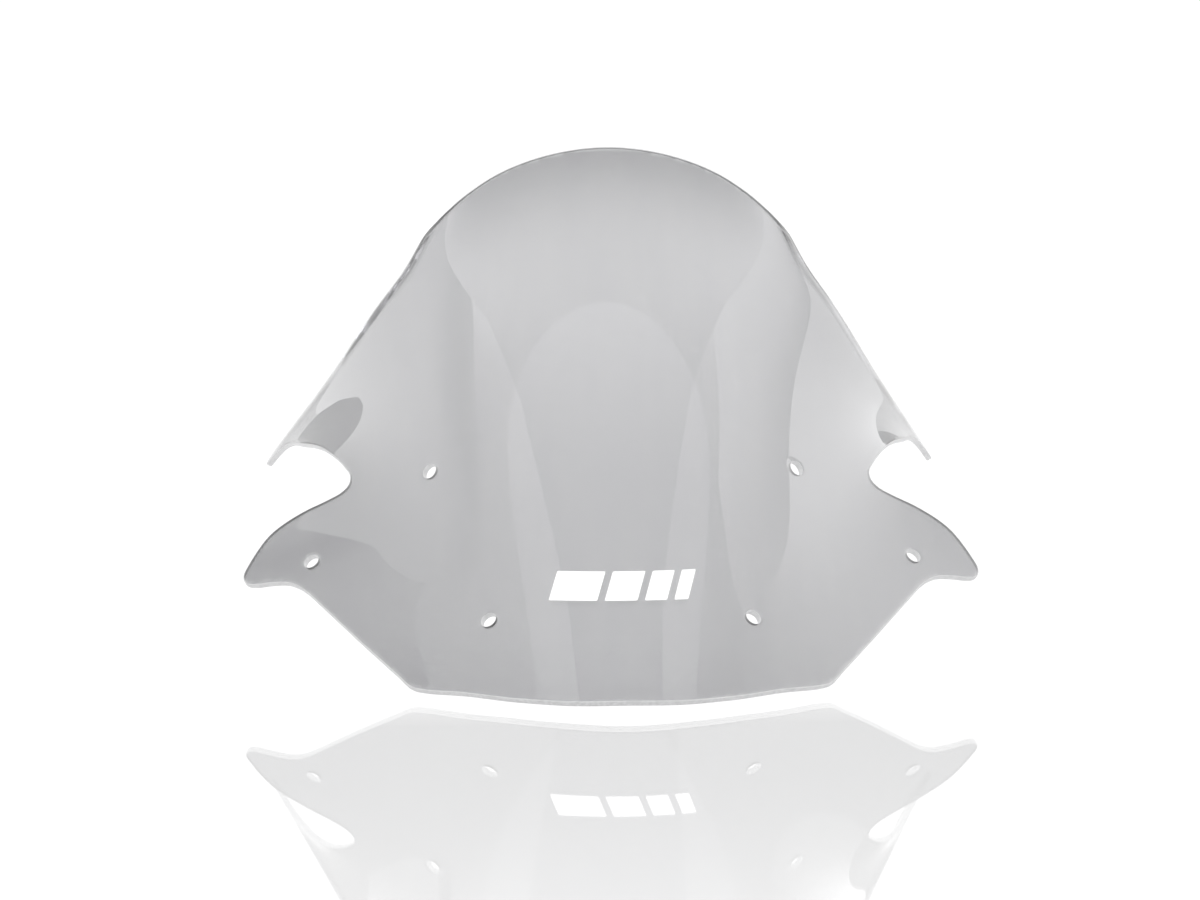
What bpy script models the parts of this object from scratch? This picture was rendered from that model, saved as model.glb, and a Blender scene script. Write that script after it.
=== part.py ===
"""Touring windshield screen for a motorcycle.

One thermoformed acrylic sheet with a domed top, a deep mirror notch and a hooked corner on
each side, two lower wings and six drilled screw holes, and a cut-vinyl mark of plain slanted
bars stuck low on its outer face. +X is to the viewer's right, the convex face looks along -Y,
and +Z is up. The lowest point lies on Z = 0 and the box is centred on X = 0 and Y = 0.

The sheet is described by two coordinates in millimetres: x, across the screen, and v, the
height on the centre line. sheet_point turns them into a place in space.
"""

import bpy
from math import ceil, cos, hypot, pi, radians, sin, sqrt

from mathutils import Vector
from mathutils.geometry import delaunay_2d_cdt

MM = 0.001  # the design is in millimetres, the scene in metres

# Moulded form -----------------------------------------------------------------------------
THICKNESS = 4.0
CROWN_LEAN = 1.36  # set-back per millimetre of height on the centre line, at the bottom edge
CROWN_STRAIGHTENING = 0.0016  # how fast that set-back falls off towards the top
DROP_ANGLE = radians(52.0)  # direction in which the sides fall away, below the horizontal
VEE_SLOPE = 0.45  # fall of the lower sides
VEE_ROUNDING = 82.0  # softness of the front at the bottom edge
VEE_ROUNDING_GROWTH = 420.0  # the front becomes flatter with the square of height over this
FLANK_SLOPE = 5.1  # extra fall of the steep side walls
FLANK_BEND_X = 112.0  # where the front turns into the side wall, at BEND_HEIGHT
BEND_HEIGHT = 170.0
FLANK_BEND_SPREAD = 0.43  # the bend moves outward by this share of the height gained
FLANK_BEND_ROUNDING = 32.0
FLARE_HEIGHT = 220.0  # below this the side wall flares out into the wing, at FLARE_X
FLARE_X = 120.0
FLARE_RISE = 0.55  # the flare line climbs by this share of the distance outward
FLARE_ROUNDING = 78.0
CENTRE_SOFTNESS = 30.0  # keeps the flare and roll lines smooth across the middle
ROLL_HEIGHT = 269.5  # above this the side wall rolls over and runs straight back
ROLL_SHOULDER_X = 136.0  # inside this the roll line climbs clear of the dome
ROLL_SHOULDER_RISE = 1.9
ROLL_SHOULDER_ROUNDING = 14.0
ROLL_HOOK_X = 185.0  # outside this it climbs towards the hook
ROLL_HOOK_RISE = 0.7
ROLL_HOOK_ROUNDING = 30.0
ROLL_ROUNDING = 13.0
ROLL_DIP = radians(8.0)  # how far below level the rolled wall runs

# Trimmed edge: one half, from the bottom centre round to the top centre, as (x, v) ----------
HALF_OUTLINE = [
    # bottom edge and its corner
    (0, 2), (33, 4.2), (66, 12.3), (101, 25), (124.5, 33.3), (132.5, 37.5),
    # slanted side and wing root
    (141, 46.5), (165, 72.5), (190, 101), (200, 112.5), (206, 118), (213, 122.5), (224.5, 126),
    # wing tip
    (234, 128), (240.5, 131), (242.5, 136.5), (239, 143.5),
    # top edge of the wing
    (227.5, 158), (218, 164), (203, 168.7), (187, 170.3),
    # notch
    (178, 171.5), (173.5, 174.5), (172.5, 180.5), (176.5, 190.5), (190, 218), (206, 251),
    (217, 281),
    # hooked corner
    (224, 294), (230, 301), (235, 305), (235, 311), (227, 318),
    # rear edge of the rolled wall
    (207, 317), (185, 311), (165, 306), (145, 303), (128, 301), (117, 300.5),
    # dome
    (108, 303.8), (93, 311), (70, 320.3), (36, 328.3), (0, 331.3),
]

# Screw holes -------------------------------------------------------------------------------
HOLE_RADIUS = 5.0
HOLES = {"lower": (83.0, 58.0), "outer": (197.0, 131.0), "upper": (119.5, 154.0)}
SEAT_RADIUS = 9.5  # flat face round each hole, for a washer
SEAT_FLAT_RADIUS = 10.5
SEAT_BLEND_RADIUS = 20.0

# Cut-vinyl mark: plain slanted bars, each (left x, right x) at the lower edge ----------------
BARS = [(-45.5, -15.5), (-11.0, 9.5), (14.0, 28.0), (32.5, 41.5)]
BAR_LOW = 54.5
BAR_HIGH = 70.5
BAR_SLANT = 6.0
BAR_ARCH = 0.0022  # the mark climbs away from the middle by this times the square of x
FILM_GAP = 0.3
FILM_THICKNESS = 0.4
FILM_STEP = 5.0

# Mesh resolution ---------------------------------------------------------------------------
EDGE_STEP = 5.0
GRID_STEP = 10.0
GRID_MARGIN = 5.5
HOLE_SIDES = 24


def ramp(distance, rounding):
    """0 before the bend and distance after it, with a rounded corner."""
    return 0.5 * (distance + sqrt(distance * distance + rounding * rounding))


def blend(distance, rounding):
    """0 well before the line and 1 well after it."""
    return 0.5 * (1.0 + distance / sqrt(distance * distance + rounding * rounding))


def side_fall(x, v):
    """How far the sheet has fallen away from its centre line at (x, v)."""
    rounding = VEE_ROUNDING + v * v / VEE_ROUNDING_GROWTH
    vee = VEE_SLOPE * (hypot(x, rounding) - rounding)
    bend = FLANK_BEND_X + FLANK_BEND_SPREAD * (v - BEND_HEIGHT)
    wall = (
        ramp(x - bend, FLANK_BEND_ROUNDING)
        + ramp(-x - bend, FLANK_BEND_ROUNDING)
        - 2.0 * ramp(-bend, FLANK_BEND_ROUNDING)
    )
    flare_line = FLARE_HEIGHT + FLARE_RISE * (hypot(x, CENTRE_SOFTNESS) - FLARE_X)
    return vee + FLANK_SLOPE * wall * blend(v - flare_line, FLARE_ROUNDING)


def roll_line(x):
    """The height at which the sheet starts to roll over towards the rear."""
    across = hypot(x, CENTRE_SOFTNESS)
    shoulder = ROLL_SHOULDER_RISE * ramp(ROLL_SHOULDER_X - across, ROLL_SHOULDER_ROUNDING)
    hook = ROLL_HOOK_RISE * ramp(across - ROLL_HOOK_X, ROLL_HOOK_ROUNDING)
    return ROLL_HEIGHT + shoulder + hook


def moulded_point(x, v):
    """The outer face before the screw seats are pressed flat."""
    rolled = ramp(v - roll_line(x), ROLL_ROUNDING)
    height = v - rolled
    fall = side_fall(x, height)
    set_back = CROWN_LEAN * height - CROWN_STRAIGHTENING * height * height
    y = set_back + cos(DROP_ANGLE) * fall + cos(ROLL_DIP) * rolled
    z = height - sin(DROP_ANGLE) * fall - sin(ROLL_DIP) * rolled
    return Vector((x, y, z))


def tangents(point_at, x, v, step=0.05):
    """Derivatives of a face along x and v."""
    along_x = (point_at(x + step, v) - point_at(x - step, v)) / (2.0 * step)
    along_v = (point_at(x, v + step) - point_at(x, v - step)) / (2.0 * step)
    return along_x, along_v


def outward(point_at, x, v):
    """Unit normal of the face, on the convex side."""
    along_x, along_v = tangents(point_at, x, v)
    return along_x.cross(along_v).normalized()


def make_seats():
    """Centre, normal and sheet coordinates of each screw seat, both sides."""
    seats = []
    for x, v in HOLES.values():
        for side in (-1.0, 1.0):
            seats.append((moulded_point(side * x, v), outward(moulded_point, side * x, v), side * x, v))
    return seats


SEATS = make_seats()


def sheet_point(x, v):
    """The finished outer face, flat round each screw hole."""
    point = moulded_point(x, v)
    for centre, normal, seat_x, _ in SEATS:
        if abs(x - seat_x) > SEAT_BLEND_RADIUS:
            continue
        offset = point - centre
        share = (SEAT_BLEND_RADIUS - offset.length) / (SEAT_BLEND_RADIUS - SEAT_FLAT_RADIUS)
        share = min(max(share, 0.0), 1.0)
        share = share * share * (3.0 - 2.0 * share)
        point = point - normal * (share * offset.dot(normal))
    return point


def spline(points, step):
    """A closed smooth curve through the points, sampled about every step."""
    samples = []
    count = len(points)
    for i in range(count):
        before, start, end, after = (Vector(points[(i + k - 1) % count]) for k in range(4))
        pieces = max(1, ceil((end - start).length / step))
        knots = [0.0]
        for a, b in ((before, start), (start, end), (end, after)):
            knots.append(knots[-1] + sqrt((b - a).length))
        out_slope = (
            (start - before) / knots[1]
            - (end - before) / knots[2]
            + (end - start) / (knots[2] - knots[1])
        )
        in_slope = (
            (end - start) / (knots[2] - knots[1])
            - (after - start) / (knots[3] - knots[1])
            + (after - end) / (knots[3] - knots[2])
        )
        span = knots[2] - knots[1]
        for k in range(pieces):
            t = k / pieces
            samples.append(
                start * (2 * t**3 - 3 * t**2 + 1)
                + out_slope * span * (t**3 - 2 * t**2 + t)
                + end * (-2 * t**3 + 3 * t**2)
                + in_slope * span * (t**3 - t**2)
            )
    return samples


def full_outline(step):
    """The whole trimmed edge, anticlockwise from the bottom centre."""
    left_half = [(-x, v) for x, v in reversed(HALF_OUTLINE[1:-1])]
    return spline(HALF_OUTLINE + left_half, step)


def ring_on_sheet(seat, radius, sides):
    """A circle round a screw hole, as sheet coordinates."""
    _, normal, x, v = seat
    along_x, along_v = tangents(moulded_point, x, v)
    axis_a = along_x.normalized()
    axis_b = normal.cross(axis_a)
    points = []
    for i in range(sides):
        angle = 2.0 * pi * i / sides
        target = radius * (cos(angle) * axis_a + sin(angle) * axis_b)
        dv = target.dot(axis_b) / along_v.dot(axis_b)
        dx = (target.dot(axis_a) - dv * along_v.dot(axis_a)) / along_x.length
        points.append(Vector((x + dx, v + dv)))
    return points


def inside(point, loop):
    """True if the point is inside the closed loop."""
    found = False
    for i, b in enumerate(loop):
        a = loop[i - 1]
        if (a.y > point.y) != (b.y > point.y):
            if point.x < (b.x - a.x) * (point.y - a.y) / (b.y - a.y) + a.x:
                found = not found
    return found


def clear_of(point, loops, margin):
    """True if the point keeps its distance from every loop point."""
    return all((point - other).length > margin for loop in loops for other in loop)


def grid_points(outline, loops):
    """Evenly spaced points inside the outline, mirrored about the centre line."""
    widest = max(p.x for p in outline)
    tallest = max(p.y for p in outline)
    points = []
    for row in range(1, int(tallest / GRID_STEP) + 1):
        for column in range(-int(widest / GRID_STEP) - 1, int(widest / GRID_STEP) + 2):
            point = Vector((column * GRID_STEP, row * GRID_STEP))
            if not inside(point, outline):
                continue
            near_hole = any(
                (moulded_point(*point) - centre).length < SEAT_RADIUS + 0.5 * GRID_STEP
                for centre, _, _, _ in SEATS
            )
            if not near_hole and clear_of(point, loops, GRID_MARGIN):
                points.append(point)
    return points


def triangulate(outline, holes, extra):
    """Triangles of the flat sheet pattern: its points, and three indices for each."""
    points = []
    edges = []
    for loop in [outline] + holes:
        first = len(points)
        points += loop
        edges += [(first + i, first + (i + 1) % len(loop)) for i in range(len(loop))]
    points += extra
    points, _, faces, _, _, _ = delaunay_2d_cdt(points, edges, [], 0, 1e-4)
    kept = []
    for face in faces:
        middle = sum((points[i] for i in face), Vector((0.0, 0.0))) / 3.0
        if inside(middle, outline) and not any(inside(middle, hole) for hole in holes):
            kept.append(tuple(face))
    return points, kept


def solid_from_pattern(name, points, faces, low, high, material):
    """A closed body between two offsets from the outer face, along its normal."""
    used = sorted({i for face in faces for i in face})
    place = {old: new for new, old in enumerate(used)}
    count = len(used)
    top = []
    bottom = []
    for i in used:
        x, v = points[i]
        base = sheet_point(x, v)
        normal = outward(sheet_point, x, v)
        top.append(base + normal * high)
        bottom.append(base + normal * low)
    upper = [tuple(place[i] for i in face) for face in faces]
    lower = [tuple(i + count for i in reversed(face)) for face in upper]
    directed = {(face[i], face[(i + 1) % len(face)]) for face in upper for i in range(len(face))}
    rim = [(b, a, a + count, b + count) for a, b in directed if (b, a) not in directed]
    mesh = bpy.data.meshes.new(name)
    mesh.from_pydata([(p + SHIFT) * MM for p in top + bottom], [], upper + lower + rim)
    mesh.materials.append(material)
    mesh.shade_smooth()
    mesh.set_sharp_from_angle(angle=radians(35.0))
    mesh.validate()
    body = bpy.data.objects.new(name, mesh)
    bpy.context.scene.collection.objects.link(body)
    return body


def plastic(name, colour, roughness, alpha=1.0, transmission=0.0):
    """A Principled material for a plastic sheet or film."""
    material = bpy.data.materials.new(name)
    material.use_nodes = True
    shader = material.node_tree.nodes["Principled BSDF"]
    shader.inputs["Base Color"].default_value = (*colour, 1.0)
    shader.inputs["Roughness"].default_value = roughness
    shader.inputs["Metallic"].default_value = 0.0
    shader.inputs["IOR"].default_value = 1.49
    shader.inputs["Alpha"].default_value = alpha
    shader.inputs["Transmission Weight"].default_value = transmission
    return material


def make_screen(material):
    """The moulded, trimmed and drilled sheet."""
    outline = full_outline(EDGE_STEP)
    holes = [ring_on_sheet(seat, HOLE_RADIUS, HOLE_SIDES) for seat in SEATS]
    seats = [ring_on_sheet(seat, SEAT_RADIUS, HOLE_SIDES) for seat in SEATS]
    extra = [point for seat in seats for point in seat]
    extra += grid_points(outline, [outline] + seats)
    points, faces = triangulate(outline, holes, extra)
    return solid_from_pattern("screen_shell", points, faces, -THICKNESS, 0.0, material)


def make_bar(number, left, right, material):
    """One slanted bar of the vinyl mark."""
    columns = max(1, round((right - left) / FILM_STEP))
    rows = round((BAR_HIGH - BAR_LOW) / FILM_STEP)
    points = []
    for row in range(rows + 1):
        height = row / rows
        for column in range(columns + 1):
            x = left + (right - left) * column / columns + BAR_SLANT * height
            v = BAR_LOW + (BAR_HIGH - BAR_LOW) * height + BAR_ARCH * x * x
            points.append(Vector((x, v)))
    faces = []
    for row in range(rows):
        for column in range(columns):
            a = row * (columns + 1) + column
            faces.append((a, a + 1, a + columns + 2, a + columns + 1))
    name = f"decal_bar_{number}"
    return solid_from_pattern(name, points, faces, FILM_GAP, FILM_GAP + FILM_THICKNESS, material)


def box_shift():
    """Moves the lowest point to Z = 0 and the middle of the box's depth to Y = 0."""
    faces = [sheet_point(p.x, p.y) for p in full_outline(EDGE_STEP)]
    normals = [outward(sheet_point, p.x, p.y) for p in full_outline(EDGE_STEP)]
    faces += [point - normal * THICKNESS for point, normal in zip(faces, normals)]
    low_y = min(point.y for point in faces)
    high_y = max(point.y for point in faces)
    low_z = min(point.z for point in faces)
    return Vector((0.0, -0.5 * (low_y + high_y), -low_z))


SHIFT = box_shift()


def main():
    for old in list(bpy.data.objects):
        bpy.data.objects.remove(old)
    make_screen(plastic("smoked_acrylic", (0.55, 0.56, 0.58), 0.04, 0.45, 0.6))
    vinyl = plastic("white_vinyl", (0.92, 0.92, 0.92), 0.35)
    for number, (left, right) in enumerate(BARS, 1):
        make_bar(number, left, right, vinyl)


main()
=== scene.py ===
"""Looks of the motorcycle windshield screen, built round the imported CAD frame.

The sheet is moulded again here from the same formula as the CAD part, on a fine mesh with rounded
cut edges. The vinyl mark is cut again with rounded corners. The sheet's formula and outlines are in
millimetres, and the studio is in metres. A spot on the sheet is (x, v): x across it, v up it.
"""

from math import ceil, cos, pi, radians, sin, sqrt

import bpy
import numpy as np
from mathutils import Matrix, Vector
from mathutils.geometry import delaunay_2d_cdt


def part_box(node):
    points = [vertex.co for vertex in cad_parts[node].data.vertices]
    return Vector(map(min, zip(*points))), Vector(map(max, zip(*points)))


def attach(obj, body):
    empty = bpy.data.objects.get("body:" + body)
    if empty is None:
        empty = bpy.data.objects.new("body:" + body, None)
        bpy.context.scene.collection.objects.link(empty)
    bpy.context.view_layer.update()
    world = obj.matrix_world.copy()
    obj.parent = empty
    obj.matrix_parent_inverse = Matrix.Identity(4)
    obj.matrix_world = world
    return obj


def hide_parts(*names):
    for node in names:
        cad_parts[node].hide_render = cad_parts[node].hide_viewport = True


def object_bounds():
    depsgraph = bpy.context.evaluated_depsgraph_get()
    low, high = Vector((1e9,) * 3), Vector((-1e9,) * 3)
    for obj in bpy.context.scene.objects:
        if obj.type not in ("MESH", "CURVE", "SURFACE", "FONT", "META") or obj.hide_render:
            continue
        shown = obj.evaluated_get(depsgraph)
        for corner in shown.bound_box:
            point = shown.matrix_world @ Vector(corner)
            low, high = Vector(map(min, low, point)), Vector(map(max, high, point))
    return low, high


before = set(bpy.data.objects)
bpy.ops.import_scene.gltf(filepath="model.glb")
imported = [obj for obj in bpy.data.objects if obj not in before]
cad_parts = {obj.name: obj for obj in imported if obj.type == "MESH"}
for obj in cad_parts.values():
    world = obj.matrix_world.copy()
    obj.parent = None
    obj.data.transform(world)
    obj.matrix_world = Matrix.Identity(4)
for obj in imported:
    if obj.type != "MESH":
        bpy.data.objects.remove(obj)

CAD_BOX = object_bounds()
MM = 0.001

# Moulded form, as in the CAD part, in millimetres ----------------------------------------------
THICKNESS = 4.0
CROWN_LEAN = 1.36
CROWN_STRAIGHTENING = 0.0016
DROP_ANGLE = radians(52.0)
VEE_SLOPE = 0.45
VEE_ROUNDING = 82.0
VEE_ROUNDING_GROWTH = 420.0
FLANK_SLOPE = 5.1
FLANK_BEND_X = 112.0
BEND_HEIGHT = 170.0
FLANK_BEND_SPREAD = 0.43
FLANK_BEND_ROUNDING = 32.0
FLARE_HEIGHT = 220.0
FLARE_X = 120.0
FLARE_RISE = 0.55
FLARE_ROUNDING = 78.0
CENTRE_SOFTNESS = 30.0
ROLL_HEIGHT = 269.5
ROLL_SHOULDER_X = 136.0
ROLL_SHOULDER_RISE = 1.9
ROLL_SHOULDER_ROUNDING = 14.0
ROLL_HOOK_X = 185.0
ROLL_HOOK_RISE = 0.7
ROLL_HOOK_ROUNDING = 30.0
ROLL_ROUNDING = 13.0
ROLL_DIP = radians(8.0)

# Trimmed edge, one half, as (x, v) --------------------------------------------------------------
HALF_OUTLINE = [
    (0, 2), (33, 4.2), (66, 12.3), (101, 25), (124.5, 33.3), (132.5, 37.5),
    (141, 46.5), (165, 72.5), (190, 101), (200, 112.5), (206, 118), (213, 122.5), (224.5, 126),
    (234, 128), (240.5, 131), (242.5, 136.5), (239, 143.5),
    (227.5, 158), (218, 164), (203, 168.7), (187, 170.3),
    (178, 171.5), (173.5, 174.5), (172.5, 180.5), (176.5, 190.5), (190, 218), (206, 251),
    (217, 281),
    (224, 294), (230, 301), (235, 305), (235, 311), (227, 318),
    (207, 317), (185, 311), (165, 306), (145, 303), (128, 301), (117, 300.5),
    (108, 303.8), (93, 311), (70, 320.3), (36, 328.3), (0, 331.3),
]
HOLE_RADIUS = 5.0
HOLES = [(83.0, 58.0), (197.0, 131.0), (119.5, 154.0)]

# Vinyl mark ------------------------------------------------------------------------------------
BARS = [(-45.5, -15.5), (-11.0, 9.5), (14.0, 28.0), (32.5, 41.5)]
BAR_LOW = 54.5
BAR_HIGH = 70.5
BAR_SLANT = 6.0
BAR_ARCH = 0.0022
BAR_CORNER = 0.8
CORNER_STEPS = 4
FILM_GAP = 0.06
FILM_THICKNESS = 0.2

# Fineness of the meshes ------------------------------------------------------------------------
EDGE_STEP = 2.0
GRID_STEP_X = 2.0
GRID_STEP_V = 2.5
GRID_CLEARANCE = 1.7  # how far the grid keeps from cut edges
HOLE_SIDES = 64
EDGE_ROUNDING = 0.9
HOLE_ROUNDING = 0.35
FILM_ROUNDING = 0.08
ROUND_STEPS = 4
FILM_STEP = 1.0
FILM_CLEARANCE = 0.6
MERGE_DISTANCE = 1e-5

# Camera ----------------------------------------------------------------------------------------
CAMERA_AIM = (-0.0085, -0.016, 0.139)
CAMERA_DISTANCE = 2.6
CAMERA_SIDE = radians(2.16)  # to the left of straight in front
CAMERA_HEIGHT = radians(5.64)  # above level
CAMERA_ROLL = radians(-0.29)
CAMERA_LENS = 119.9
CAMERA_REACH = 200.0


# ------------------------------------------------------------------------------------------------
# The sheet's surface
# ------------------------------------------------------------------------------------------------
def ramp(distance, rounding):
    """0 before the bend and distance after it, with a rounded corner."""
    return 0.5 * (distance + np.hypot(distance, rounding))


def blend(distance, rounding):
    """0 well before the line and 1 well after it."""
    return 0.5 * (1.0 + distance / np.hypot(distance, rounding))


def side_fall(x, v):
    """How far the sheet has fallen away from its centre line at (x, v)."""
    rounding = VEE_ROUNDING + v * v / VEE_ROUNDING_GROWTH
    vee = VEE_SLOPE * (np.hypot(x, rounding) - rounding)
    bend = FLANK_BEND_X + FLANK_BEND_SPREAD * (v - BEND_HEIGHT)
    wall = (
        ramp(x - bend, FLANK_BEND_ROUNDING)
        + ramp(-x - bend, FLANK_BEND_ROUNDING)
        - 2.0 * ramp(-bend, FLANK_BEND_ROUNDING)
    )
    flare_line = FLARE_HEIGHT + FLARE_RISE * (np.hypot(x, CENTRE_SOFTNESS) - FLARE_X)
    return vee + FLANK_SLOPE * wall * blend(v - flare_line, FLARE_ROUNDING)


def roll_line(x):
    """The height at which the sheet starts to roll over towards the rear."""
    across = np.hypot(x, CENTRE_SOFTNESS)
    shoulder = ROLL_SHOULDER_RISE * ramp(ROLL_SHOULDER_X - across, ROLL_SHOULDER_ROUNDING)
    hook = ROLL_HOOK_RISE * ramp(across - ROLL_HOOK_X, ROLL_HOOK_ROUNDING)
    return ROLL_HEIGHT + shoulder + hook


def face(spots):
    """Places of the outer face at sheet spots, an array of (x, v) rows."""
    x, v = spots[:, 0], spots[:, 1]
    rolled = ramp(v - roll_line(x), ROLL_ROUNDING)
    height = v - rolled
    fall = side_fall(x, height)
    set_back = CROWN_LEAN * height - CROWN_STRAIGHTENING * height * height
    y = set_back + cos(DROP_ANGLE) * fall + cos(ROLL_DIP) * rolled
    z = height - sin(DROP_ANGLE) * fall - sin(ROLL_DIP) * rolled
    return np.stack([x, y, z], axis=1)


def unit(rows):
    """Each row scaled to length one."""
    return rows / np.linalg.norm(rows, axis=1, keepdims=True)


def slopes(spots, step=0.05):
    """Derivatives of the face along x and v."""
    dx, dv = np.array([step, 0.0]), np.array([0.0, step])
    along_x = (face(spots + dx) - face(spots - dx)) / (2.0 * step)
    along_v = (face(spots + dv) - face(spots - dv)) / (2.0 * step)
    return along_x, along_v


def outward(spots):
    """Unit normals on the convex side."""
    along_x, along_v = slopes(spots)
    return unit(np.cross(along_x, along_v))


def moved(spots, pushes):
    """Sheet spots moved along the face by the given pushes in space."""
    along_x, along_v = slopes(spots)
    xx = (along_x * along_x).sum(1)
    xv = (along_x * along_v).sum(1)
    vv = (along_v * along_v).sum(1)
    px = (along_x * pushes).sum(1)
    pv = (along_v * pushes).sum(1)
    det = xx * vv - xv * xv
    steps = np.stack([(vv * px - xv * pv) / det, (xx * pv - xv * px) / det], axis=1)
    return spots + steps


def spline(points, step):
    """A closed smooth curve through the points, sampled about every step."""
    samples = []
    count = len(points)
    for i in range(count):
        before, start, end, after = (Vector(points[(i + k - 1) % count]) for k in range(4))
        pieces = max(1, ceil((end - start).length / step))
        knots = [0.0]
        for a, b in ((before, start), (start, end), (end, after)):
            knots.append(knots[-1] + sqrt((b - a).length))
        out_slope = (
            (start - before) / knots[1]
            - (end - before) / knots[2]
            + (end - start) / (knots[2] - knots[1])
        )
        in_slope = (
            (end - start) / (knots[2] - knots[1])
            - (after - start) / (knots[3] - knots[1])
            + (after - end) / (knots[3] - knots[2])
        )
        span = knots[2] - knots[1]
        for k in range(pieces):
            t = k / pieces
            samples.append(
                start * (2 * t**3 - 3 * t**2 + 1)
                + out_slope * span * (t**3 - 2 * t**2 + t)
                + end * (-2 * t**3 + 3 * t**2)
                + in_slope * span * (t**3 - t**2)
            )
    return np.array([tuple(p) for p in samples])


def sheet_outline():
    """The whole trimmed edge, anticlockwise from the middle of the bottom."""
    left_half = [(-x, v) for x, v in reversed(HALF_OUTLINE[1:-1])]
    return spline(HALF_OUTLINE + left_half, EDGE_STEP)


def screw_hole(x, v):
    """A round hole's edge, clockwise so that the material lies on its left."""
    centre = np.array([[x, v]])
    along_x, _ = slopes(centre)
    across = unit(along_x)
    upward = np.cross(outward(centre), across)
    turns = -2.0 * pi * np.arange(HOLE_SIDES) / HOLE_SIDES
    pushes = HOLE_RADIUS * (np.cos(turns)[:, None] * across + np.sin(turns)[:, None] * upward)
    return moved(np.repeat(centre, HOLE_SIDES, axis=0), pushes)


# ------------------------------------------------------------------------------------------------
# Meshes
# ------------------------------------------------------------------------------------------------
def inside(spots, loop):
    """Which spots lie inside the closed loop."""
    found = np.zeros(len(spots), bool)
    for a, b in zip(np.roll(loop, 1, axis=0), loop):
        crosses = (a[1] > spots[:, 1]) != (b[1] > spots[:, 1])
        if crosses.any():
            edge_x = (b[0] - a[0]) * (spots[crosses, 1] - a[1]) / (b[1] - a[1]) + a[0]
            found[crosses] ^= spots[crosses, 0] < edge_x
    return found


def grid_inside(across, upward, loop):
    """The spots of a grid that lie inside the closed loop."""
    grid_x, grid_v = np.meshgrid(across, upward)
    spots = np.stack([grid_x.ravel(), grid_v.ravel()], axis=1)
    return spots[inside(spots, loop)]


def far_from(spots, loops, distance):
    """Which spots keep their distance from every loop point."""
    keep = np.ones(len(spots), bool)
    for x, v in np.concatenate(loops):
        keep &= (spots[:, 0] - x) ** 2 + (spots[:, 1] - v) ** 2 > distance**2
    return keep


def edge_frame(loop):
    """Place, outward normal and direction into the material, at each point of a cut edge."""
    place = face(loop)
    normal = outward(loop)
    along = np.roll(place, -1, axis=0) - np.roll(place, 1, axis=0)
    return place, normal, unit(np.cross(normal, along))


def triangulate(loops, extra):
    """Triangles of the flat pattern inside the first loop and outside the others."""
    spots = np.concatenate(loops + [extra])
    edges = []
    first = 0
    for loop in loops:
        edges += [(first + i, first + (i + 1) % len(loop)) for i in range(len(loop))]
        first += len(loop)
    flat = [Vector(spot) for spot in spots]
    _, _, faces, origin, _, _ = delaunay_2d_cdt(flat, edges, [], 0, MERGE_DISTANCE)
    source = np.array([ids[0] for ids in origin])
    faces = source[np.array(faces)]
    middles = spots[faces].mean(axis=1)
    keep = inside(middles, loops[0])
    for hole in loops[1:]:
        keep &= ~inside(middles, hole)
    return spots, faces[keep]


def rounded_profile(top, bottom, rounding):
    """Rows down a cut edge, between its two faces: (distance in from the edge, height)."""
    rows = []
    for i in range(1, ROUND_STEPS + 1):
        turn = 0.5 * pi * i / ROUND_STEPS
        rows.append((rounding * (1.0 - sin(turn)), top - rounding * (1.0 - cos(turn))))
    return rows + [(inset, top + bottom - height) for inset, height in reversed(rows)]


def solid(name, loops, roundings, extra, top, bottom, materials):
    """A closed sheet body with rounded cut edges; the last material goes on those edges."""
    frames = [edge_frame(loop) for loop in loops]
    inner_loops = [
        moved(loop, inward * rounding)
        for loop, rounding, (_, _, inward) in zip(loops, roundings, frames)
    ]
    spots, faces = triangulate(inner_loops, extra)
    places, normals = face(spots), outward(spots)
    count = len(spots)
    points = [places + normals * top, places + normals * bottom]
    polygons = [faces, faces[:, ::-1] + count]
    total = 2 * count
    first = 0
    for loop, rounding, (place, normal, inward) in zip(loops, roundings, frames):
        ring = first + np.arange(len(loop))
        rows = [ring]
        for inset, height in rounded_profile(top, bottom, rounding):
            points.append(place + inward * inset + normal * height)
            rows.append(total + np.arange(len(loop)))
            total += len(loop)
        rows.append(ring + count)
        first += len(loop)
        for upper, lower in zip(rows, rows[1:]):
            next_upper, next_lower = np.roll(upper, -1), np.roll(lower, -1)
            polygons.append(np.stack([next_upper, upper, lower], axis=1))
            polygons.append(np.stack([next_upper, lower, next_lower], axis=1))
    points = (np.concatenate(points) + SHIFT) * MM
    polygons = np.concatenate(polygons)
    used, places_used = np.unique(polygons, return_inverse=True)
    mesh = bpy.data.meshes.new(name)
    mesh.from_pydata(points[used].tolist(), [], places_used.reshape(-1, 3).tolist())
    for material in materials:
        mesh.materials.append(material)
    on_edge = np.arange(len(polygons)) >= 2 * len(faces)
    mesh.polygons.foreach_set("material_index", (on_edge * (len(materials) - 1)).astype(np.int32))
    mesh.shade_smooth()
    mesh.validate()
    body = bpy.data.objects.new(name, mesh)
    bpy.context.scene.collection.objects.link(body)
    return body


def box_shift():
    """Moves the formula's origin to its place in the frame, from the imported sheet's own box."""
    low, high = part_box("screen_shell")
    outline = sheet_outline()
    outer = face(outline)
    rim = np.concatenate([outer, outer - outward(outline) * THICKNESS])
    middle_y = 0.5 * (rim[:, 1].min() + rim[:, 1].max())
    return np.array([0.0, 0.5 * (low.y + high.y) / MM - middle_y, low.z / MM - rim[:, 2].min()])


SHIFT = box_shift()


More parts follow.
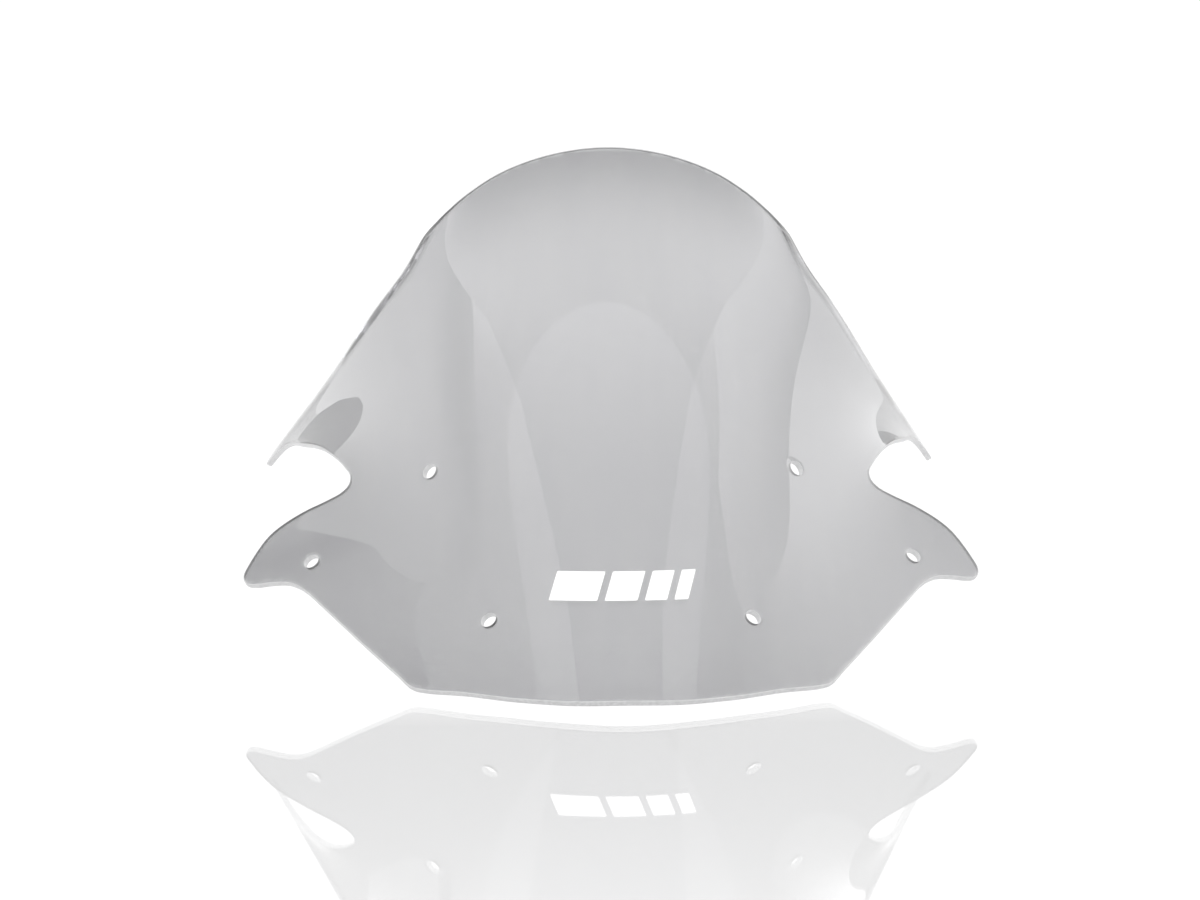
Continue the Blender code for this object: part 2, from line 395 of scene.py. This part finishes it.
def make_sheet(materials):
    """The moulded, trimmed and drilled screen."""
    outline = sheet_outline()
    holes = [screw_hole(side * x, v) for x, v in HOLES for side in (-1.0, 1.0)]
    half_columns = ceil(outline[:, 0].max() / GRID_STEP_X)
    rows = ceil(outline[:, 1].max() / GRID_STEP_V)
    across = np.arange(-half_columns, half_columns + 1) * GRID_STEP_X
    extra = grid_inside(across, np.arange(rows + 1) * GRID_STEP_V, outline)
    for hole in holes:
        extra = extra[~inside(extra, hole)]
    extra = extra[far_from(extra, [outline] + holes, GRID_CLEARANCE)]
    loops = [outline] + holes
    roundings = [EDGE_ROUNDING] + [HOLE_ROUNDING] * len(holes)
    return solid("clear_sheet", loops, roundings, extra, 0.0, -THICKNESS, materials)


def bar_outline(left, right):
    """A slanted bar with rounded corners that follows the mark's arch."""
    corners = [
        (left, 0.0),
        (right, 0.0),
        (right + BAR_SLANT, BAR_HIGH - BAR_LOW),
        (left + BAR_SLANT, BAR_HIGH - BAR_LOW),
    ]
    points = []
    for i, corner in enumerate(corners):
        here = Vector(corner)
        back = (Vector(corners[i - 1]) - here).normalized() * BAR_CORNER
        ahead = Vector(corners[(i + 1) % 4]) - here
        length = ahead.length
        ahead.normalize()
        for k in range(CORNER_STEPS + 1):
            t = k / CORNER_STEPS
            points.append(here + back * (1 - t) ** 2 + ahead * BAR_CORNER * t**2)
        steps = int(length / FILM_STEP)
        for k in range(1, steps):
            points.append(here + ahead * (BAR_CORNER + (length - 2 * BAR_CORNER) * k / steps))
    return np.array([(x, BAR_LOW + v + BAR_ARCH * x * x) for x, v in points])


def make_bar(number, left, right, material):
    """One bar of the mark, a film just clear of the sheet's outer face."""
    outline = bar_outline(left, right)
    across = np.arange(outline[:, 0].min(), outline[:, 0].max(), FILM_STEP)
    upward = np.arange(outline[:, 1].min(), outline[:, 1].max(), FILM_STEP)
    extra = grid_inside(across, upward, outline)
    extra = extra[far_from(extra, [outline], FILM_CLEARANCE)]
    name = f"vinyl_bar_{number}"
    top = FILM_GAP + FILM_THICKNESS
    return solid(name, [outline], [FILM_ROUNDING], extra, top, FILM_GAP, [material])


# ------------------------------------------------------------------------------------------------
# Materials
# ------------------------------------------------------------------------------------------------
class Nodes:
    """A short way to write node trees. Links may be sockets or plain values."""

    def __init__(self, tree):
        self.tree = tree

    def add(self, kind, links=None, **settings):
        node = self.tree.nodes.new(kind)
        for name, value in settings.items():
            setattr(node, name, value)
        for socket, value in (links or {}).items():
            if isinstance(value, bpy.types.NodeSocket):
                self.tree.links.new(value, node.inputs[socket])
            else:
                node.inputs[socket].default_value = value
        return node

    def maths(self, operation, a, b):
        return self.add("ShaderNodeMath", {0: a, 1: b}, operation=operation).outputs["Value"]

    def tones(self, value, dark, light, low=0.0, high=1.0):
        """A colour that goes from dark at the value low to light at the value high."""
        node = self.add("ShaderNodeValToRGB", {"Fac": value})
        for element, position, colour in zip(node.color_ramp.elements, (low, high), (dark, light)):
            element.position = position
            element.color = colour + (1.0,)
        return node.outputs["Color"]

    def ramp(self, value, stops, peak):
        """A curve through (position, height) stops, for a value from 0 to 1."""
        node = self.add("ShaderNodeValToRGB", {"Fac": value})
        node.color_ramp.interpolation = "CARDINAL"
        elements = node.color_ramp.elements
        while len(elements) < len(stops):
            elements.new(0.5)
        for element, (position, height) in zip(elements, stops):
            element.position = position
            element.color = (height / peak,) * 3 + (1.0,)
        return self.maths("MULTIPLY", node.outputs["Color"], peak)


def new_material(name):
    """A material with its node writer, its shader and its output node."""
    material = bpy.data.materials.new(name)
    material.use_nodes = True
    nodes = Nodes(material.node_tree)
    shader = material.node_tree.nodes["Principled BSDF"]
    output = material.node_tree.nodes["Material Output"]
    return material, nodes, shader, output


def smoked_acrylic():
    """Smoked acrylic: tinted through its thickness, with faint moulding ripple and a bright gloss."""
    material, nodes, shader, output = new_material("smoked_acrylic")
    place = nodes.add("ShaderNodeTexCoord").outputs["Object"]
    haze = nodes.add("ShaderNodeTexNoise", {"Vector": place, "Scale": 22.0, "Detail": 4.0})
    rough = nodes.add(
        "ShaderNodeMapRange",
        {"Value": haze.outputs["Fac"], "From Min": 0.35, "From Max": 0.75, "To Max": 0.03},
    )
    stretch = nodes.add("ShaderNodeMapping", {"Vector": place, "Scale": (1.0, 0.12, 0.12)})
    streaks = nodes.add(
        "ShaderNodeTexNoise", {"Vector": stretch.outputs["Vector"], "Scale": 90.0, "Detail": 2.0}
    )
    tone = nodes.tones(streaks.outputs["Fac"], (0.69, 0.69, 0.70), (0.71, 0.71, 0.715), 0.3, 0.7)
    ripple = nodes.add("ShaderNodeTexNoise", {"Vector": place, "Scale": 9.0, "Detail": 1.0})
    bump = nodes.add(
        "ShaderNodeBump", {"Height": ripple.outputs["Fac"], "Strength": 0.03, "Distance": 0.002}
    )
    nodes.tree.links.new(tone, shader.inputs["Base Color"])
    nodes.tree.links.new(rough.outputs["Result"], shader.inputs["Roughness"])
    nodes.tree.links.new(bump.outputs["Normal"], shader.inputs["Normal"])
    shader.inputs["Transmission Weight"].default_value = 1.0
    shader.inputs["IOR"].default_value = 1.49
    shader.inputs["Coat Weight"].default_value = 1.0
    shader.inputs["Coat IOR"].default_value = 2.0
    shader.inputs["Coat Roughness"].default_value = 0.0
    absorb = nodes.add(
        "ShaderNodeVolumeAbsorption", {"Color": (0.38, 0.38, 0.40, 1.0), "Density": 170.0}
    )
    nodes.tree.links.new(absorb.outputs["Volume"], output.inputs["Volume"])
    return material


def sawn_edge():
    """The cut and lightly rounded edges: frosted acrylic with fine saw marks."""
    material, nodes, shader, output = new_material("sawn_edge")
    place = nodes.add("ShaderNodeTexCoord").outputs["Object"]
    marks = nodes.add("ShaderNodeTexNoise", {"Vector": place, "Scale": 420.0, "Detail": 3.0})
    tone = nodes.tones(marks.outputs["Fac"], (0.52, 0.52, 0.525), (0.62, 0.62, 0.625), 0.3, 0.7)
    rough = nodes.add(
        "ShaderNodeMapRange", {"Value": marks.outputs["Fac"], "To Min": 0.25, "To Max": 0.45}
    )
    nodes.tree.links.new(tone, shader.inputs["Base Color"])
    nodes.tree.links.new(rough.outputs["Result"], shader.inputs["Roughness"])
    return material


def white_vinyl():
    """Cut vinyl film: opaque white with a fine orange-peel and a soft shine."""
    material, nodes, shader, output = new_material("white_vinyl")
    place = nodes.add("ShaderNodeTexCoord").outputs["Object"]
    grain = nodes.add("ShaderNodeTexNoise", {"Vector": place, "Scale": 1400.0, "Detail": 2.0})
    tone = nodes.tones(grain.outputs["Fac"], (0.90, 0.90, 0.90), (0.96, 0.96, 0.96))
    rough = nodes.add(
        "ShaderNodeMapRange", {"Value": grain.outputs["Fac"], "To Min": 0.28, "To Max": 0.42}
    )
    bump = nodes.add(
        "ShaderNodeBump", {"Height": grain.outputs["Fac"], "Strength": 0.15, "Distance": 0.00005}
    )
    nodes.tree.links.new(tone, shader.inputs["Base Color"])
    nodes.tree.links.new(rough.outputs["Result"], shader.inputs["Roughness"])
    nodes.tree.links.new(bump.outputs["Normal"], shader.inputs["Normal"])
    return material


# ------------------------------------------------------------------------------------------------
# Studio
# ------------------------------------------------------------------------------------------------
FLOOR_GAP = 0.004
FLOOR_SIZE = 60.0
FLOOR_TONE = 0.85
# the floor's shine starts at the first depth y, is full at the second and has faded out at the third
MIRROR_REAR = 0.1
MIRROR_FULL = -0.24
MIRROR_FAR = -2.0
MIRROR_SHARE = 0.5
MIRROR_ROUGHNESS = 0.02
SUN_LIGHT = 0.9
SUN_SPREAD = radians(60.0)
WORLD_LIGHT = 1.05

# What polished surfaces see. Light levels are (position, level) stops, and STUDIO_PEAK is above
# them all. The world's positions run from 0, straight in front, over 0.5, overhead, to 1, behind.
STUDIO_PEAK = 2.0
STUDIO_LIGHT = [
    (0.05, 0.1), (0.1, 0.2), (0.16, 0.6), (0.25, 1.45), (0.35, 1.2), (0.45, 0.95), (0.58, 0.75),
    (0.66, 0.55), (0.95, 0.65), (0.985, 1.0),
]
# overhead softbox: height over the screen, right half of its outline as (x, y), light from the
# front to the rear
SOFTBOX_HEIGHT = 1.0
SOFTBOX_OUTLINE = [
    (0.37, 0.5), (0.35, -0.08), (0.5, -0.3), (0.75, -0.52), (1.3, -0.8), (1.6, -1.5),
]
SOFTBOX_LIGHT = [
    (0.0, 0.1), (0.15, 0.3), (0.25, 0.8), (0.37, 1.35), (0.5, 1.2), (0.62, 0.8), (0.75, 0.5),
    (1.0, 0.35),
]
# side softboxes: distance from the middle, outlines as (y, z), light from the bottom to the top
SIDE_DISTANCE = 1.5
LEFT_OUTLINE = [
    (-1.5, 0.0), (2.0, 0.0), (2.0, 0.45), (1.4, 0.47), (1.13, 0.53), (1.08, 0.62), (1.15, 0.77),
    (1.35, 0.97), (1.62, 1.23), (1.9, 1.6), (0.8, 1.8), (0.4, 1.6), (-0.3, 1.9), (-1.5, 1.9),
]
LEFT_LIGHT = [(0.0, 1.3), (0.45, 1.25), (0.8, 0.75), (1.0, 0.85)]
RIGHT_OUTLINE = [(0.3, 0.0), (1.9, 0.0), (1.9, 1.85), (0.3, 1.85)]
RIGHT_LIGHT = [(0.0, 1.0), (0.35, 1.45), (0.62, 1.5), (0.8, 0.95), (1.0, 0.68)]
# a second softbox on the right, in front of the other, with light from its front to its rear
FRONT_OUTLINE = [(-1.9, 0.0), (0.3, 0.0), (0.3, 1.7), (-0.2, 2.4), (-1.9, 2.6)]
FRONT_LIGHT = [(0.0, 1.55), (0.5, 1.5), (0.8, 1.25), (1.0, 0.9)]
# a dim flag that hangs just inside the left softbox, with light from its front to its rear
FLAG_GAP = 0.02
FLAG_OUTLINE = [
    (0.3, 1.54), (0.41, 1.49), (0.49, 1.54), (0.68, 1.7), (0.85, 1.85), (0.7, 1.92), (0.5, 1.84),
    (0.42, 1.74),
]
FLAG_LIGHT = [(0.0, 0.6), (0.16, 0.5), (0.27, 0.4), (0.4, 0.25), (0.5, 0.25), (0.65, 0.4), (1.0, 0.5)]
# white cards across the studio, with outlines as (x, z): one behind the screen, and a low horizon
# in front of it that keeps the floor white when it is seen from behind
WHITE_LIGHT = [(0.0, 1.0), (1.0, 1.0)]
BACKDROP_DISTANCE = 1.9
BACKDROP_OUTLINE = [(-1.5, 0.0), (1.5, 0.0), (1.5, 0.8), (0.9, 0.4), (-0.9, 0.36), (-1.5, 0.46)]
HORIZON_DISTANCE = 8.0
HORIZON_OUTLINE = [(-30.0, 0.0), (30.0, 0.0), (30.0, 3.8), (-30.0, 3.8)]


def make_floor():
    """A white floor whose shine fades away towards the camera."""
    bpy.ops.mesh.primitive_plane_add(size=FLOOR_SIZE, location=(0.0, 0.0, -FLOOR_GAP))
    floor = bpy.context.object
    floor.name = "floor"
    material, nodes, shader, output = new_material("white_floor")
    nodes.tree.nodes.remove(shader)
    place = nodes.add("ShaderNodeTexCoord").outputs["Object"]
    parts = nodes.add("ShaderNodeSeparateXYZ", {"Vector": place})
    fade = nodes.add(
        "ShaderNodeMapRange",
        {"Value": parts.outputs["Y"], "From Min": MIRROR_FAR, "From Max": MIRROR_FULL,
         "To Max": MIRROR_SHARE},
        interpolation_type="SMOOTHSTEP",
    )
    start = nodes.add(
        "ShaderNodeMapRange",
        {"Value": parts.outputs["Y"], "From Min": MIRROR_REAR, "From Max": MIRROR_FULL},
    )
    share = nodes.maths("MULTIPLY", fade.outputs["Result"], start.outputs["Result"])
    white = nodes.add("ShaderNodeBsdfDiffuse", {"Color": (FLOOR_TONE, FLOOR_TONE, FLOOR_TONE, 1.0)})
    shine = nodes.add(
        "ShaderNodeBsdfGlossy", {"Color": (1.0, 1.0, 1.0, 1.0), "Roughness": MIRROR_ROUGHNESS}
    )
    mixed = nodes.add(
        "ShaderNodeMixShader",
        {"Fac": share, 1: white.outputs["BSDF"], 2: shine.outputs["BSDF"]},
    )
    nodes.tree.links.new(mixed.outputs["Shader"], output.inputs["Surface"])
    floor.data.materials.append(material)


def make_world():
    """White all round, but polished surfaces see the studio's light levels."""
    world = bpy.data.worlds.new("studio")
    bpy.context.scene.world = world
    world.use_nodes = True
    nodes = Nodes(world.node_tree)
    background = world.node_tree.nodes["Background"]
    direction = nodes.add("ShaderNodeTexCoord").outputs["Generated"]
    parts = nodes.add("ShaderNodeSeparateXYZ", {"Vector": direction})
    depth = nodes.add("ShaderNodeMapRange", {"Value": parts.outputs["Y"], "From Min": -1.0})
    level = nodes.ramp(depth.outputs["Result"], STUDIO_LIGHT, STUDIO_PEAK)
    path = nodes.add("ShaderNodeLightPath")
    strength = nodes.add(
        "ShaderNodeMix",
        {"Factor": path.outputs["Is Glossy Ray"], "A": WORLD_LIGHT, "B": level},
        data_type="FLOAT",
    )
    nodes.tree.links.new(strength.outputs["Result"], background.inputs["Strength"])
    background.inputs["Color"].default_value = (1.0, 1.0, 1.0, 1.0)


def only_in_reflections(thing):
    """Hides a thing from everything but reflections."""
    thing.visible_camera = False
    thing.visible_diffuse = False
    thing.visible_transmission = False
    thing.visible_shadow = False
    thing.visible_volume_scatter = False


def make_card(name, corners, axis, stops):
    """A light card that only polished surfaces see, with its light graded along one axis."""
    mesh = bpy.data.meshes.new(name)
    mesh.from_pydata(corners, [], [tuple(range(len(corners)))])
    material = bpy.data.materials.new(name)
    material.use_nodes = True
    nodes = Nodes(material.node_tree)
    nodes.tree.nodes.clear()
    place = nodes.add("ShaderNodeTexCoord").outputs["Object"]
    parts = nodes.add("ShaderNodeSeparateXYZ", {"Vector": place})
    spread = [corner["XYZ".index(axis)] for corner in corners]
    along = nodes.add(
        "ShaderNodeMapRange",
        {"Value": parts.outputs[axis], "From Min": min(spread), "From Max": max(spread)},
    )
    level = nodes.ramp(along.outputs["Result"], stops, STUDIO_PEAK)
    light = nodes.add("ShaderNodeEmission", {"Strength": level})
    output = nodes.add("ShaderNodeOutputMaterial")
    nodes.tree.links.new(light.outputs["Emission"], output.inputs["Surface"])
    mesh.materials.append(material)
    card = bpy.data.objects.new(name, mesh)
    bpy.context.scene.collection.objects.link(card)
    only_in_reflections(card)


def make_side_card(name, x, outline, axis, stops):
    make_card(name, [(x, y, z) for y, z in outline], axis, stops)


def make_cross_card(name, y, outline):
    make_card(name, [(x, y, z) for x, z in outline], "Z", WHITE_LIGHT)


def make_cards():
    """The overhead softbox, which widens towards the front, then the side and cross cards."""
    low, high = CAD_BOX
    middle = 0.5 * (low + high)
    outline = SOFTBOX_OUTLINE + [(-x, y) for x, y in reversed(SOFTBOX_OUTLINE)]
    over = [(x, middle.y + y, middle.z + SOFTBOX_HEIGHT) for x, y in outline]
    make_card("overhead_softbox", over, "Y", SOFTBOX_LIGHT)
    make_side_card("left_softbox", -SIDE_DISTANCE, LEFT_OUTLINE, "Z", LEFT_LIGHT)
    make_side_card("left_flag", FLAG_GAP - SIDE_DISTANCE, FLAG_OUTLINE, "Y", FLAG_LIGHT)
    make_side_card("right_softbox", SIDE_DISTANCE, RIGHT_OUTLINE, "Z", RIGHT_LIGHT)
    make_side_card("front_softbox", SIDE_DISTANCE, FRONT_OUTLINE, "Y", FRONT_LIGHT)
    make_cross_card("backdrop_light", BACKDROP_DISTANCE, BACKDROP_OUTLINE)
    make_cross_card("front_horizon", -HORIZON_DISTANCE, HORIZON_OUTLINE)


def make_sun():
    """A broad overhead light, which polished surfaces don't see."""
    data = bpy.data.lights.new("overhead", "SUN")
    data.energy = SUN_LIGHT
    data.angle = SUN_SPREAD
    sun = bpy.data.objects.new("overhead", data)
    sun.visible_glossy = False
    bpy.context.scene.collection.objects.link(sun)


def make_camera():
    data = bpy.data.cameras.new("camera")
    data.lens = CAMERA_LENS
    data.clip_end = CAMERA_REACH
    camera = bpy.data.objects.new("camera", data)
    bpy.context.scene.collection.objects.link(camera)
    back = Vector((
        -sin(CAMERA_SIDE) * cos(CAMERA_HEIGHT),
        -cos(CAMERA_SIDE) * cos(CAMERA_HEIGHT),
        sin(CAMERA_HEIGHT),
    ))
    place = Vector(CAMERA_AIM) + back * CAMERA_DISTANCE
    turn = (-back).to_track_quat("-Z", "Y").to_matrix().to_4x4()
    camera.matrix_world = Matrix.Translation(place) @ turn @ Matrix.Rotation(CAMERA_ROLL, 4, "Z")
    bpy.context.scene.camera = camera


def main():
    """The studio, then the sheet and its bars."""
    make_camera()
    make_world()
    make_sun()
    make_cards()
    make_floor()
    bpy.context.scene.view_settings.view_transform = "Standard"

    sheet = make_sheet([smoked_acrylic(), sawn_edge()])
    # the clear sheet leaves the floor under it white
    sheet.visible_shadow = False
    sheet.visible_diffuse = False
    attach(sheet, "root")
    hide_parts("screen_shell")

    vinyl = white_vinyl()
    for number, (left, right) in enumerate(BARS, 1):
        bar = make_bar(number, left, right, vinyl)
        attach(bar, "root")
        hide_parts(f"decal_bar_{number}")


main()
